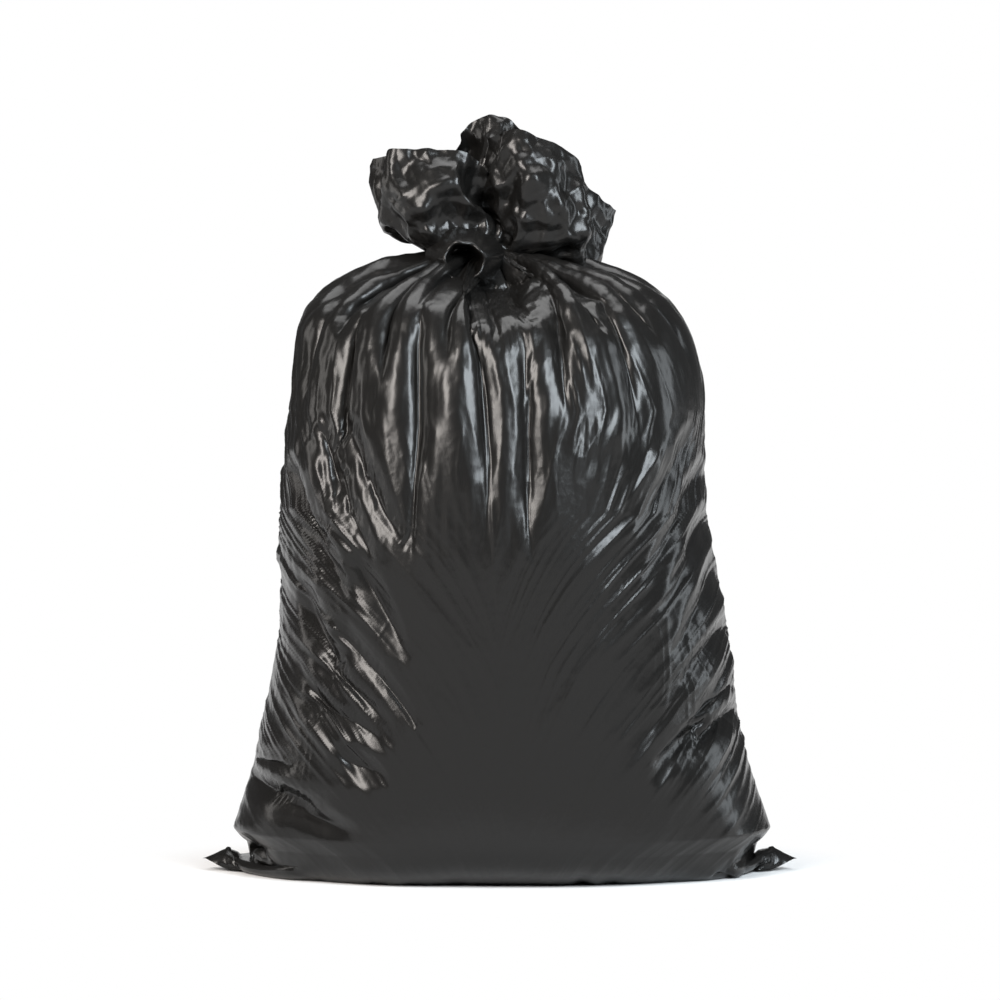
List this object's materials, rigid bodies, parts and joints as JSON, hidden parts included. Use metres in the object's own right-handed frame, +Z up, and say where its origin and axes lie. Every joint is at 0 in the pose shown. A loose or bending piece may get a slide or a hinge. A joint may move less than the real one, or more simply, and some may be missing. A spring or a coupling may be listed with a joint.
{
  "type": "full bin bag",
  "caption": "Full black film bin bag standing on a flat base, gathered at the neck and knotted, with a ruffled crown of loose film and sealed corners at its foot.",
  "frame": {"origin": "on the floor, under the middle of the bag's bounding box", "axes": "+Z up from the base to the crown, +X to the right as the front is seen, the front faces -Y"},
  "size_m": [0.6022, 0.4422, 0.7622],
  "materials": {
    "black_film": "crinkled black polyethylene film, glossy on the folds"
  },
  "bodies": {
    "root": {"bin_bag": "black_film"}
  },
  "joints": []
}
